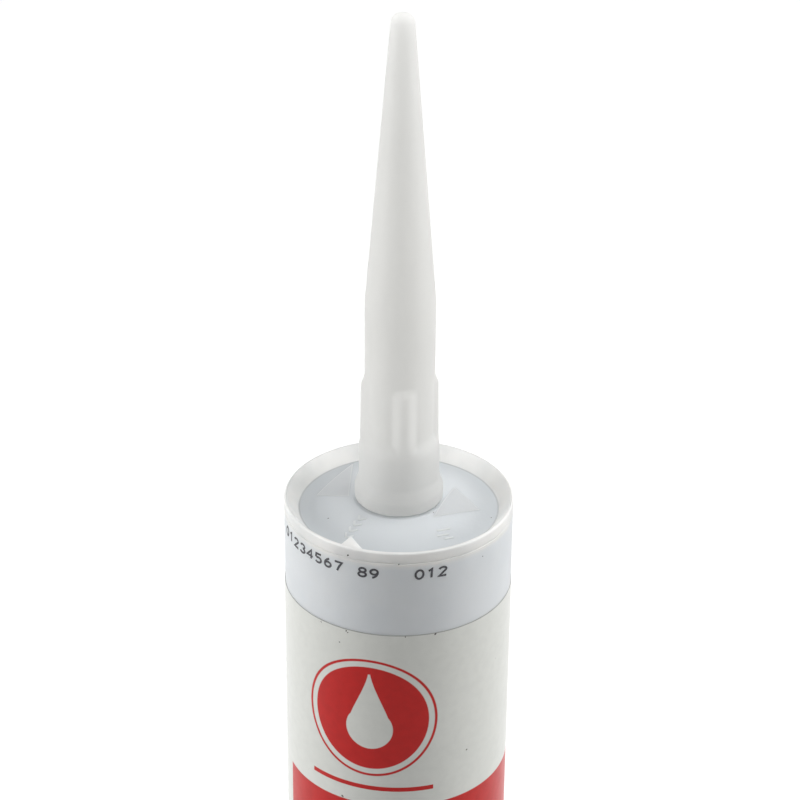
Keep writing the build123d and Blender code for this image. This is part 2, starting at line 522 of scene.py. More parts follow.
@dataclass(frozen=True)
class LabelPrint(Finish):
    """Glossy film, printed in red on warm white: a roundel with a drop, a side strip and a lower field."""

    white: Triple = (0.74, 0.75, 0.71)
    red: Triple = (0.56, 0.01, 0.008)
    radius: float = 24.6
    top: float = 195.0
    emblem_azimuth: float = -14.0
    emblem_drop: float = 21.5
    emblem_radius: float = 13.0
    ring_gap: float = 1.3
    ring_width: float = 0.6
    field_drop: float = 44.0
    field_from: float = -70.0
    field_to: float = 118.0
    strip_from: float = 97.0
    strip_margin: float = 1.0
    stripe_drop: float = 39.6
    stripe_half: float = 33.0
    stripe_width: float = 1.1
    drop_radius: float = 5.2
    drop_down: float = 2.6
    drop_height: float = 14.0
    # A dark line along the label's top edge: its width, its share and its colour.
    top_line_width: float = 0.22
    top_line_share: float = 0.6
    top_line_tone: Triple = (0.16, 0.16, 0.16)
    edge: float = 0.12

    def surface(self, shader: Shader) -> Surface:
        """Red fields on white, with a faint waviness where the film isn't quite flat.

        Args:
            shader: The material's node tree.

        Returns:
            The colour, the roughness and the normal.
        """
        point, x, y, z = shader.place()
        azimuth = x.math("ARCTAN2", x, y * -1.0)
        red = self.emblem(azimuth, z) | self.lower_field(azimuth, z) | self.side_strip(azimuth, z)
        red = red | self.stripe(azimuth, z)
        mottle = shader.noise(point, 0.5, 4.0)
        patches = mottle.step(0.3, 0.75)
        white = shader.mix(patches, self.white, dimmed(self.white, 0.96))
        ink = shader.mix(patches, self.red, dimmed(self.red, 0.9))
        waves = shader.noise(shader.stretched(point, (1.0, 1.0, 0.25)), 0.12)
        roughness = self.roughness + (mottle - 0.5) * 0.1
        # Darkens the label along its top edge.
        top_line = z.step(self.top - self.top_line_width, self.top - self.top_line_width / 2) * self.top_line_share
        colour = shader.mix(top_line, shader.mix(red, white, ink), self.top_line_tone)
        return colour, roughness, shader.bump(waves, 0.05)

    def around(self, azimuth: Expr, start: float, end: float) -> Expr:
        """A mask between two azimuths.

        Args:
            azimuth: The angle round the tube from the front, in radians.
            start: Where it starts, in degrees.
            end: Where it ends, in degrees.

        Returns:
            The mask.
        """
        return azimuth.band(math.radians(start), math.radians(end), self.edge / self.radius)

    def below(self, z: Expr, drop: float) -> Expr:
        """A mask of what is more than a drop below the label's top."""
        return z.step(self.top - drop + self.edge, self.top - drop - self.edge)

    def emblem(self, azimuth: Expr, z: Expr) -> Expr:
        """The roundel: a disc with a white drop in it and a thin ring round it.

        Args:
            azimuth: The angle round the tube from the front, in radians.
            z: The height, in millimetres.

        Returns:
            The mask of its red ink.
        """
        across = (azimuth - math.radians(self.emblem_azimuth)) * self.radius
        up = z - (self.top - self.emblem_drop)
        away = (across * across + up * up).root()
        disc = away.step(self.emblem_radius + self.edge, self.emblem_radius - self.edge)
        half = self.ring_width / 2
        ring_radius = self.emblem_radius + self.ring_gap + half
        ring = abs(away - ring_radius).step(half + self.edge, half - self.edge)
        return (disc & (1.0 - self.drop(across, up))) | ring

    def drop(self, across: Expr, up: Expr) -> Expr:
        """A falling drop: a round foot drawn out to a point at the top.

        Args:
            across: The distance to the right of the emblem's centre.
            up: The distance above it.

        Returns:
            The mask of the drop.
        """
        raised = up + self.drop_down
        share = (raised / self.drop_height).step(-0.15, 1.15)
        narrowed = abs(across) - self.drop_radius * (1.0 - share)
        upper = raised.step(-0.2, 0.2) & raised.step(self.drop_height, self.drop_height - 0.4)
        body = narrowed.step(self.edge, -self.edge) & upper
        foot = (across * across + raised * raised).root()
        return body | foot.step(self.drop_radius + self.edge, self.drop_radius - self.edge)

    def lower_field(self, azimuth: Expr, z: Expr) -> Expr:
        """The large red field on the lower front."""
        return self.around(azimuth, self.field_from, self.field_to) & self.below(z, self.field_drop)

    def stripe(self, azimuth: Expr, z: Expr) -> Expr:
        """The short stripe between the emblem and the lower field.

        Args:
            azimuth: The angle round the tube from the front, in radians.
            z: The height, in millimetres.

        Returns:
            The mask of its red ink.
        """
        start, end = self.emblem_azimuth - self.stripe_half, self.emblem_azimuth + self.stripe_half
        middle, half = self.top - self.stripe_drop, self.stripe_width / 2
        return self.around(azimuth, start, end) & z.band(middle - half, middle + half, self.edge)

    def side_strip(self, azimuth: Expr, z: Expr) -> Expr:
        """The narrow red strip that joins the lower field to the label's top at one side."""
        return self.around(azimuth, self.strip_from, self.field_to) & self.below(z, self.strip_margin)


@dataclass(frozen=True)
class PlainPaste(Finish):
    """Clear sealant paste, cool grey and wet."""

    tone: Triple = (0.5, 0.53, 0.54)

    def surface(self, shader: Shader) -> Surface:
        """Soft folds of paste.

        Args:
            shader: The material's node tree.

        Returns:
            The colour, the roughness and the normal.
        """
        point, _, _, _ = shader.place()
        folds = shader.noise(point, 0.25, 3.0)
        colour = shader.mix(folds, self.tone, dimmed(self.tone, 0.85))
        return colour, self.roughness + (folds - 0.5) * 0.1, shader.bump(folds, 0.3)


@dataclass(frozen=True)
class Spots(Finish):
    """Ink or dirt, nearly black."""

    tone: Triple = (0.02, 0.02, 0.024)

    def surface(self, shader: Shader) -> Surface:
        """Uneven cover, as sprayed or rubbed on.

        Args:
            shader: The material's node tree.

        Returns:
            The colour, the roughness and the normal.
        """
        point, _, _, _ = shader.place()
        cover = shader.noise(point, 2.5, 3.0)
        colour = shader.mix(cover.step(0.3, 0.8), self.tone, dimmed(self.tone, 3.0))
        return colour, self.roughness + (cover - 0.5) * 0.2, shader.bump(cover, 0.01)


# ---------------------------------------------------------------- meshes


def rounded(corners: Sequence[Triple]) -> list[Point]:
    """An outline with its corners rounded.

    Args:
        corners: The corners as (r, z, radius), in millimetres. A radius of 0 leaves a corner sharp.

    Returns:
        The outline's points, with a point just outside each end of an arc so that the flats stay flat.
    """
    hold, most_turn = 0.06, 12.0
    outline: list[Point] = []
    for index, (r, z, radius) in enumerate(corners):
        if radius <= 0 or index in (0, len(corners) - 1):
            outline.append((r, z))
            continue
        here = Vector((r, z))
        back = (Vector(corners[index - 1][:2]) - here).normalized()
        ahead = (Vector(corners[index + 1][:2]) - here).normalized()
        half = back.angle(ahead) / 2
        reach = radius / math.tan(half)
        centre = here + (back + ahead).normalized() * radius / math.sin(half)
        start, end = here + back * reach - centre, here + ahead * reach - centre
        sweep = start.angle_signed(end)
        steps = max(2, math.ceil(abs(math.degrees(sweep)) / most_turn))
        outline.append(tuple(here + back * (reach + hold)))
        for step in range(steps + 1):
            angle = -sweep * step / steps
            cosine, sine = math.cos(angle), math.sin(angle)
            spoke = Vector((start.x * cosine - start.y * sine, start.x * sine + start.y * cosine))
            outline.append(tuple(centre + spoke))
        outline.append(tuple(here + ahead * (reach + hold)))
    return outline


def refined(outline: Sequence[Point], step: float, low: float, high: float) -> list[Point]:
    """An outline with long runs divided where they lie between two heights.

    Args:
        outline: The outline's points.
        step: The longest run that is left, in millimetres.
        low: The lower height.
        high: The upper height.

    Returns:
        The outline with the added points.
    """
    made = [outline[0]]
    for first, second in zip(outline, outline[1:]):
        inside = min(first[1], second[1]) < high and max(first[1], second[1]) > low
        count = max(1, math.ceil(math.dist(first, second) / step)) if inside else 1
        for index in range(1, count + 1):
            share = index / count
            made.append(tuple(here + (there - here) * share for here, there in zip(first, second)))
    return made


def even_angles(count: int) -> list[float]:
    """A full turn in equal steps, in radians."""
    return [math.tau * index / count for index in range(count)]


def from_front(azimuth: float, radius: float) -> Point:
    """The x and y of a point, for an azimuth from the front in degrees and a distance from the axis."""
    angle = math.radians(azimuth)
    return (radius * math.sin(angle), -radius * math.cos(angle))


def between(first: Point, second: Point, share: float) -> Point:
    """A point on the straight line between two points given as (azimuth, radius).

    Args:
        first: Where the line starts.
        second: Where it ends.
        share: How far along it the point is, from 0 to 1.

    Returns:
        The point, as (azimuth, radius).
    """
    ends = zip(from_front(*first), from_front(*second))
    x, y = (start + (end - start) * share for start, end in ends)
    return (math.degrees(math.atan2(x, -y)), math.hypot(x, y))


def on_cylinder(radius: float) -> Place:
    """The surface of an upright cylinder.

    Args:
        radius: The cylinder's radius.

    Returns:
        A map from an azimuth in degrees, a height and a distance from the surface to a point.
    """

    def place(azimuth: float, z: float, proud: float) -> Triple:
        """The point for one azimuth, height and distance from the surface."""
        return (*from_front(azimuth, radius + proud), z)

    return place


@dataclass
class MeshDraft:
    """A mesh in the making, in millimetres."""

    points: list[Triple] = field(default_factory=list)
    faces: list[tuple[int, ...]] = field(default_factory=list)

    def lathe(
        self,
        outline: Sequence[Point],
        angles: Sequence[float],
        push: Callable[[float, float, float], float] | None = None,
    ) -> None:
        """Turns an outline about the tube's axis.

        Args:
            outline: Points (r, z), from the axis down the outside and back up the inside. A point on the axis
                becomes a pole, and an outline that doesn't reach the axis is closed on itself.
            angles: The angles of the columns, in radians.
            push: Given r, z and the angle, the radius to use instead of r.
        """
        rings: list[list[int]] = []
        for r, z in outline:
            start = len(self.points)
            if r < 1e-6:
                self.points.append((0.0, 0.0, z))
                rings.append([start] * len(angles))
                continue
            for angle in angles:
                reach = push(r, z, angle) if push else r
                self.points.append((reach * math.cos(angle), reach * math.sin(angle), z))
            rings.append(list(range(start, start + len(angles))))
        if outline[0][0] > 1e-6:
            rings.append(rings[0])
        for above, below in zip(rings, rings[1:]):
            for column in range(len(angles)):
                after = (column + 1) % len(angles)
                quad = (above[column], below[column], below[after], above[after])
                face = tuple(dict.fromkeys(quad))
                if len(face) > 2:
                    self.faces.append(face)

    def sweep(self, sections: Sequence[Sequence[Triple]]) -> None:
        """Joins closed sections of equal size into a tube with capped ends.

        Args:
            sections: The sections along the tube, each a list of points.
        """
        size = len(sections[0])
        start = len(self.points)
        for section in sections:
            self.points.extend(section)
        for row in range(len(sections) - 1):
            for index in range(size):
                after = (index + 1) % size
                low, high = start + row * size, start + (row + 1) * size
                self.faces.append((low + index, low + after, high + after, high + index))
        self.faces.append(tuple(start + index for index in reversed(range(size))))
        self.faces.append(tuple(start + (len(sections) - 1) * size + index for index in range(size)))

    def stroke(self, place: Place, path: Sequence[Point], widths: Point, proud: float, sink: float) -> None:
        """A raised or printed line along a path on a surface.

        Args:
            place: The surface, as a map from two surface coordinates and a height above it to a point.
            path: The line in surface coordinates.
            widths: Half of the line's width along each of the two surface coordinates.
            proud: How far the line stands out of the surface.
            sink: How far its foot is sunk into the surface.
        """
        sections = []
        for index, here in enumerate(path):
            before, after = path[max(index - 1, 0)], path[min(index + 1, len(path) - 1)]
            scaled = [((p[0] / widths[0]), (p[1] / widths[1])) for p in (before, here, after)]
            runs = [Vector(scaled[k + 1]) - Vector(scaled[k]) for k in range(2)]
            runs = [run.normalized() for run in runs if run.length > 1e-9]
            normals = [Vector((-run.y, run.x)) for run in runs]
            mean = sum(normals, Vector((0.0, 0.0))).normalized()
            side = mean / max(0.5, mean.dot(normals[0]))
            offset = (side.x * widths[0], side.y * widths[1])
            sections.append([
                place(here[0] + offset[0] * share, here[1] + offset[1] * share, height)
                for share, height in ((1.0, -sink), (-1.0, -sink), (-0.92, proud), (0.92, proud))
            ])
        self.sweep(sections)

    def build(self, name: str, material: bpy.types.Material) -> bpy.types.Object:
        """Makes the object, with smooth shading and sharp creases.

        Args:
            name: The piece's name.
            material: Its finish.

        Returns:
            The new object, linked to the scene.
        """
        crease = math.radians(32)
        mesh = bpy.data.meshes.new(name)
        mesh.from_pydata([tuple(part * MM for part in point) for point in self.points], [], self.faces)
        draft = bmesh.new()
        draft.from_mesh(mesh)
        bmesh.ops.recalc_face_normals(draft, faces=draft.faces)
        draft.to_mesh(mesh)
        draft.free()
        mesh.shade_smooth()
        mesh.set_sharp_from_angle(angle=crease)
        mesh.materials.append(material)
        made = bpy.data.objects.new(name, mesh)
        bpy.context.scene.collection.objects.link(made)
        return made


# ---------------------------------------------------------------- the tube's layout


@dataclass(frozen=True)
class Layout:
    """Heights and radii that the pieces share, in millimetres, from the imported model."""

    rim: float
    barrel_radius: float
    label_radius: float
    label_low: float
    label_high: float
    mouth_radius: float
    mouth_depth: float
    nozzle_top: float
    fill_low: float
    fill_high: float
    fill_radius: float

    @classmethod
    def from_frame(cls) -> "Layout":
        """Reads the layout.

        Returns:
            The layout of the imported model.
        """
        low, high = {}, {}
        for node in ("barrel", "nozzle", "sealant", "label"):
            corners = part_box(node)
            low[node] = corners[0] / MM
            high[node] = corners[1] / MM
        mounts = {mount["name"]: mount for mount in frame["record"]["mounts"]}
        mouth = mounts["rear_mouth"]["dims"]
        return cls(
            rim=mounts["front_rim"]["pos_m"][2] / MM,
            barrel_radius=high["barrel"].x,
            label_radius=high["label"].x,
            label_low=low["label"].z,
            label_high=high["label"].z,
            mouth_radius=mouth["r_mm"],
            mouth_depth=mouth["length_mm"],
            nozzle_top=high["nozzle"].z,
            fill_low=low["sealant"].z,
            fill_high=high["sealant"].z,
            fill_radius=high["sealant"].x,
        )


@dataclass(frozen=True)
class Head:
    """The sunk head: a shallow cone inside the lip."""

    lip_width: float = 0.6
    recess_depth: float = 3.0
    recess_run: float = 2.45
    rise: float = 2.4
    thickness: float = 1.8
    seat_radius: float = 9.65

    def lip_inner(self, layout: Layout) -> float:
        """The lip's inner radius at its top."""
        return layout.barrel_radius - self.lip_width

    def floor_radius(self, layout: Layout) -> float:
        """The radius of the recess floor's outer edge."""
        return self.lip_inner(layout) - self.recess_run

    def slope(self, layout: Layout) -> float:
        """How far the head rises for each millimetre towards the axis."""
        return self.rise / (self.floor_radius(layout) - self.seat_radius)

    def height(self, layout: Layout, radius: float) -> float:
        """The height of the head's top face.

        Args:
            layout: The tube's layout.
            radius: The distance from the axis.

        Returns:
            The height, which is level from the seat inwards.
        """
        rise = self.slope(layout) * (self.floor_radius(layout) - max(radius, self.seat_radius))
        return layout.rim - self.recess_depth + rise

    def surface(self, layout: Layout) -> Place:
        """The head's top face.

        Args:
            layout: The tube's layout.

        Returns:
            A map from an azimuth in degrees, a radius and a height above the head to a point.
        """

        def place(azimuth: float, radius: float, proud: float) -> Triple:
            """The point for one azimuth, radius and height above the head."""
            return (*from_front(azimuth, radius), self.height(layout, radius) + proud)

        return place


def dressed(
    draft: MeshDraft, name: str, finish: Finish, slot: Slot, body: Body, stands_for: str | None = None
) -> bpy.types.Object:
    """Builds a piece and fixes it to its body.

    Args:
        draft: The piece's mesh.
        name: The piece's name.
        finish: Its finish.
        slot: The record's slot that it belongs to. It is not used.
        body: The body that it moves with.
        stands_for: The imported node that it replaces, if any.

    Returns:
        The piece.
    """
    piece = draft.build(name, finish.material())
    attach(piece, body.value)
    if stands_for:
        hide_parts(stands_for)
    log.info("%s: %d faces, on %s", name, len(piece.data.polygons), body.value)
    return piece


# ---------------------------------------------------------------- barrel


@dataclass
class Barrel:
    """The moulded barrel with its sunk head, its closed and threaded spout, and a gusset."""

    layout: Layout
    head: Head = Head()
    finish: FilledBarrelPlastic = FilledBarrelPlastic(
        "barrel_plastic", roughness=0.46, specular=0.3, subsurface=0.4, tone=(0.85, 0.845, 0.825)
    )
    wall: float = 1.3
    lip_outer_round: float = 0.45
    lip_inner_round: float = 0.15
    recess_round: float = 0.6
    rim_chamfer: float = 0.4
    groove_drop: float = 2.5
    groove_depth: float = 0.15
    groove_height: float = 0.4
    spout_radius: float = 5.8
    spout_bore: float = 3.0
    spout_height: float = 13.6
    spout_cap: float = 1.0
    spout_round: float = 1.4
    thread_reach: float = 0.7
    thread_pitch: float = 3.2
    thread_turns: float = 3.2
    thread_rise: float = 2.2
    gusset_azimuth: float = -23.6
    gusset_width: float = 6.8
    gusset_tip_width: float = 0.5
    gusset_inset: float = 0.25
    gusset_reach: float = 4.7
    gusset_toe: float = 1.0
    gusset_skew: float = 2.4
    gusset_drop: float = 0.5
    gusset_fall: float = 0.25
    gusset_pitch: float = 0.15
    gusset_draft: float = 0.4
    gusset_sink: float = 0.6
    columns: int = 224

    def build(self) -> bpy.types.Object:
        """Builds the barrel.

        Returns:
            The barrel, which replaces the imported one.
        """
        draft = MeshDraft()
        draft.lathe(self.section(), even_angles(self.columns))
        self.add_thread(draft)
        self.add_gusset(draft)
        return dressed(draft, "barrel_body", self.finish, Slot.BARREL, Body.BARREL, "barrel")

    def section(self) -> list[Point]:
        """The barrel's half section, from the spout's tip down the outside and back up the inside.

        Returns:
            The outline.
        """
        lay, head = self.layout, self.head
        outer = lay.barrel_radius
        bore = outer - self.wall
        seat = head.height(lay, 0.0)
        floor = lay.rim - head.recess_depth
        under = seat - head.thickness
        tip = seat + self.spout_height
        groove = lay.rim - self.groove_drop
        half = self.groove_height / 2
        return rounded([
            (0.0, tip, 0.0),
            (self.spout_radius, tip, self.spout_round),
            (self.spout_radius, seat, 0.3),
            (head.seat_radius, seat, 1.0),
            (head.floor_radius(lay), floor, self.recess_round),
            (head.lip_inner(lay), lay.rim, self.lip_inner_round),
            (outer, lay.rim, self.lip_outer_round),
            (outer, groove + half, 0.05),
            (outer - self.groove_depth, groove + half / 3, 0.05),
            (outer - self.groove_depth, groove - half / 3, 0.05),
            (outer, groove - half, 0.05),
            (outer, self.rim_chamfer, 0.15),
            (outer - self.rim_chamfer, 0.0, 0.15),
            (lay.mouth_radius, 0.0, 0.2),
            (lay.mouth_radius, lay.mouth_depth, 0.1),
            (bore, lay.mouth_depth + lay.mouth_radius - bore, 0.1),
            (bore, under - head.slope(lay) * (bore - head.seat_radius), 0.6),
            (head.seat_radius, under, 1.0),
            (self.spout_bore, under, 0.3),
            (self.spout_bore, tip - self.spout_cap, 0.4),
            (0.0, tip - self.spout_cap, 0.0),
        ])

    def add_thread(self, draft: MeshDraft) -> None:
        """Winds the thread round the spout.

        Args:
            draft: The mesh to add it to.
        """
        foot = self.head.height(self.layout, 0.0) + self.thread_rise
        count = round(72 * self.thread_turns)
        sections = []
        for index in range(count + 1):
            share = index / count
            angle = math.tau * self.thread_turns * share
            fade = min(1.0, 12 * share, 12 * (1 - share))
            crest = self.spout_radius + self.thread_reach * math.sin(fade * math.pi / 2) - 0.02
            rise = foot + self.thread_pitch * self.thread_turns * share
            sections.append([
                (reach * math.cos(angle), reach * math.sin(angle), rise + up)
                for reach, up in (
                    (self.spout_radius - 0.1, -0.85),
                    (crest - 0.12, -0.38),
                    (crest, -0.22),
                    (crest, 0.22),
                    (crest - 0.12, 0.38),
                    (self.spout_radius - 0.1, 0.85),
                )
            ])
        draft.sweep(sections)

    def add_gusset(self, draft: MeshDraft) -> None:
        """Adds the tent-shaped gusset between the lip and the head.

        Args:
            draft: The mesh to add it to.
        """
        lay, head = self.layout, self.head
        outer = head.lip_inner(lay) - self.gusset_inset
        inner = head.lip_inner(lay) - self.gusset_reach
        toe = inner - self.gusset_toe
        foot = lay.rim - head.recess_depth - self.gusset_sink
        top = lay.rim - self.gusset_drop
        width = self.gusset_width / 2
        steps = 6
        stations = []
        for index in range(steps + 1):
            share = index / steps
            half = width + (self.gusset_tip_width / 2 - width) * share
            reach = outer + (inner - outer) * share
            stations.append((reach, half, top - self.gusset_fall * share, self.gusset_skew * share))
        stations.append((toe, self.gusset_tip_width / 2, head.height(lay, toe), self.gusset_skew))
        turn = math.radians(self.gusset_azimuth)
        sections = []
        for reach, half, ridge, aside in stations:
            shoulder = ridge - self.gusset_pitch * half
            profile = (
                (-half - self.gusset_draft, foot),
                (-half, shoulder - 0.15),
                (-half * 0.9, shoulder),
                (0.0, ridge),
                (half * 0.9, shoulder),
                (half, shoulder - 0.15),
                (half + self.gusset_draft, foot),
            )
            sections.append([
                (
                    reach * math.sin(turn) + (across - aside) * math.cos(turn),
                    -reach * math.cos(turn) + (across - aside) * math.sin(turn),
                    up,
                )
                for across, up in profile
            ])
        draft.sweep(sections)


FACETS = (
    ((-100.0, 17.9), (-150.0, 20.5), (-92.0, 10.8)),
    ((81.0, 17.4), (43.0, 11.0), (113.0, 13.0)),
)
"""The corners of the two facets on the head, as (azimuth, radius)."""


@dataclass
class MouldMarks:
    """Low raised marks on the head: a row of chevrons, three short curved lines, and two faint facets."""

    layout: Layout
    head: Head = Head()
    line_finish: MouldedPlastic = MouldedPlastic(
        "raised_marks", roughness=0.4, tone=(0.84, 0.86, 0.86), cloud=(0.79, 0.82, 0.82), subsurface=0.3
    )
    facet_finish: MouldedPlastic = MouldedPlastic(
        "raised_facets", roughness=0.4, tone=(0.7, 0.725, 0.74), cloud=(0.74, 0.76, 0.77), subsurface=0.3
    )
    proud: float = 0.06
    sink: float = 0.1
    line: float = 0.5
    chevrons: int = 4
    first_chevron: Point = (-42.5, 12.4)
    chevron_pitch: Point = (1.8, 1.9)
    chevron_half: float = 1.1
    chevron_depth: float = 1.2
    curves: tuple[tuple[float, float, int], ...] = ((33.0, 14.8, 6), (30.0, 16.2, 5), (33.0, 17.6, 4))
    curve_step: Point = (2.2, 0.15)
    facet_proud: float = 0.02
    facet_line: float = 0.4

    def build(self) -> None:
        """Builds the marks as two pieces."""
        lines = MeshDraft()
        for index in range(self.chevrons):
            start, pitch = self.first_chevron, self.chevron_pitch
            self.add_chevron(lines, start[0] + pitch[0] * index, start[1] + pitch[1] * index)
        turn, out = self.curve_step
        for azimuth, radius, count in self.curves:
            self.add_line(lines, [(azimuth + turn * step, radius + out * step) for step in range(count)])
        for corners in FACETS:
            self.add_outline(lines, corners)
        dressed(lines, "mould_marks", self.line_finish, Slot.BARREL, Body.BARREL)
        facets = MeshDraft()
        for corners in FACETS:
            self.add_facet(facets, corners)
        dressed(facets, "mould_facets", self.facet_finish, Slot.BARREL, Body.BARREL)

    def add_line(self, draft: MeshDraft, path: Sequence[Point], share: float = 1.0) -> None:
        """Adds one raised line.

        Args:
            draft: The mesh to add it to.
            path: The line's points, as (azimuth, radius).
            share: The line's width, as a share of the usual width.
        """
        mean = sum(radius for _, radius in path) / len(path)
        half = self.line * share / 2
        widths = (math.degrees(half / mean), half)
        draft.stroke(self.head.surface(self.layout), path, widths, self.proud * share, self.sink)

    def add_chevron(self, draft: MeshDraft, azimuth: float, radius: float) -> None:
        """Adds one chevron, with its point away from the spout.

        Args:
            draft: The mesh to add it to.
            azimuth: Where its middle is, in degrees.
            radius: How far its point is from the axis.
        """
        spread = math.degrees(self.chevron_half / radius)
        shares = [1 - step / 4 for step in range(5)]
        for side in (-1.0, 1.0):
            path = [
                (azimuth + side * spread * share, radius - self.chevron_depth * share) for share in shares
            ]
            self.add_line(draft, path)

    def add_outline(self, draft: MeshDraft, corners: Sequence[Point]) -> None:
        """Adds the faint raised border of one facet.

        Args:
            draft: The mesh to add it to.
            corners: Its corners, as (azimuth, radius).
        """
        for first, second in zip(corners, [*corners[1:], corners[0]]):
            path = [between(first, second, step / 12) for step in range(13)]
            self.add_line(draft, path, self.facet_line)

    def add_facet(self, draft: MeshDraft, corners: Sequence[Point]) -> None:
        """Adds the face of one facet, which follows the head.

        Args:
            draft: The mesh to add it to.
            corners: Its three corners, as (azimuth, radius).
        """
        rows = 10
        surface = self.head.surface(self.layout)
        apex, left, right = corners
        sections = []
        for row in range(rows + 1):
            share = max(row / rows, 0.01)
            ends = between(apex, left, share), between(apex, right, share)
            across = [between(*ends, step / rows) for step in range(rows + 1)]
            top = [surface(*place, self.facet_proud) for place in across]
            foot = [surface(*place, -self.sink) for place in reversed(across)]
            sections.append(top + foot)
        draft.sweep(sections)


@dataclass
class InkCode:
    """The row of plain counting figures that is sprayed round the barrel, under the lip."""

    layout: Layout
    finish: Spots = Spots("code_ink", roughness=0.45)
    drop: float = 6.25
    height: float = 2.05
    width: float = 1.95
    line: float = 0.5
    lean: float = 0.06
    proud: float = 0.03
    sink: float = 0.05
    groups: tuple[tuple[str, float, float], ...] = (
        ("01234567", -75.8, 2.62),
        ("89", -20.0, 2.5),
        ("012", 8.0, 2.5),
    )

    def build(self) -> bpy.types.Object:
        """Builds the three groups of figures as one piece.

        Returns:
            The figures.
        """
        draft = MeshDraft()
        place = on_cylinder(self.layout.barrel_radius)
        degrees = math.degrees(1 / self.layout.barrel_radius)
        foot = self.layout.rim - self.drop
        widths = (self.line / 2 * degrees, self.line / 2)
        for figures, start, pitch in self.groups:
            for index, figure in enumerate(figures):
                left = start + index * pitch * degrees
                for path in figure_lines(figure):
                    placed = [
                        (left + (x * self.width + y * self.lean * self.height) * degrees, foot + y * self.height)
                        for x, y in path
                    ]
                    draft.stroke(place, placed, widths, self.proud, self.sink)
        return dressed(draft, "code_figures", self.finish, Slot.LABEL, Body.BARREL)


def bow(centre: Point, reach: Point, start: float, end: float, steps: int = 12) -> list[Point]:
    """An arc of an ellipse.

    Args:
        centre: Its centre.
        reach: Its half width and half height.
        start: The angle that it starts at, in degrees.
        end: The angle that it ends at.
        steps: How many runs it has.

    Returns:
        The arc's points.
    """
    angles = [math.radians(start + (end - start) * step / steps) for step in range(steps + 1)]
    return [(centre[0] + reach[0] * math.cos(a), centre[1] + reach[1] * math.sin(a)) for a in angles]


def figure_lines(figure: str) -> list[list[Point]]:
    """The strokes of one figure in a box one wide and one high.

    Args:
        figure: A figure from 0 to 9.

    Returns:
        The strokes.
    """
    upper, lower = (0.5, 0.76), (0.5, 0.26)
    strokes = {
        "0": [bow((0.5, 0.5), (0.42, 0.5), 90, 450, 20)],
        "1": [[(0.2, 0.8), (0.35, 0.88), (0.55, 1.0), (0.55, 0.5), (0.55, 0.0)]],
        "2": [bow(upper, (0.4, 0.24), 170, -30) + [(0.45, 0.3), (0.1, 0.0), (0.5, 0.0), (0.95, 0.0)]],
        "3": [bow(upper, (0.38, 0.24), 160, -80), bow(lower, (0.42, 0.26), 80, -160)],
        "4": [[(0.72, 0.0), (0.72, 0.5), (0.72, 1.0), (0.4, 0.65), (0.05, 0.3), (0.5, 0.3), (0.98, 0.3)]],
        "5": [[(0.85, 1.0), (0.5, 1.0), (0.15, 1.0), (0.12, 0.56)], bow((0.48, 0.3), (0.42, 0.3), 130, -150)],
        "6": [bow((0.5, 0.3), (0.4, 0.3), 120, 480, 16), bow((0.86, 0.32), (0.76, 0.68), 105, 180)],
        "7": [[(0.05, 1.0), (0.5, 1.0), (0.92, 1.0), (0.6, 0.5), (0.4, 0.0)]],
        "8": [bow(upper, (0.36, 0.24), 90, 450, 16), bow(lower, (0.42, 0.26), 90, 450, 16)],
        "9": [bow((0.5, 0.7), (0.4, 0.3), 60, 420, 16), bow((0.14, 0.68), (0.76, 0.68), 0, -75)],
    }
    return strokes[figure]


# ---------------------------------------------------------------- nozzle


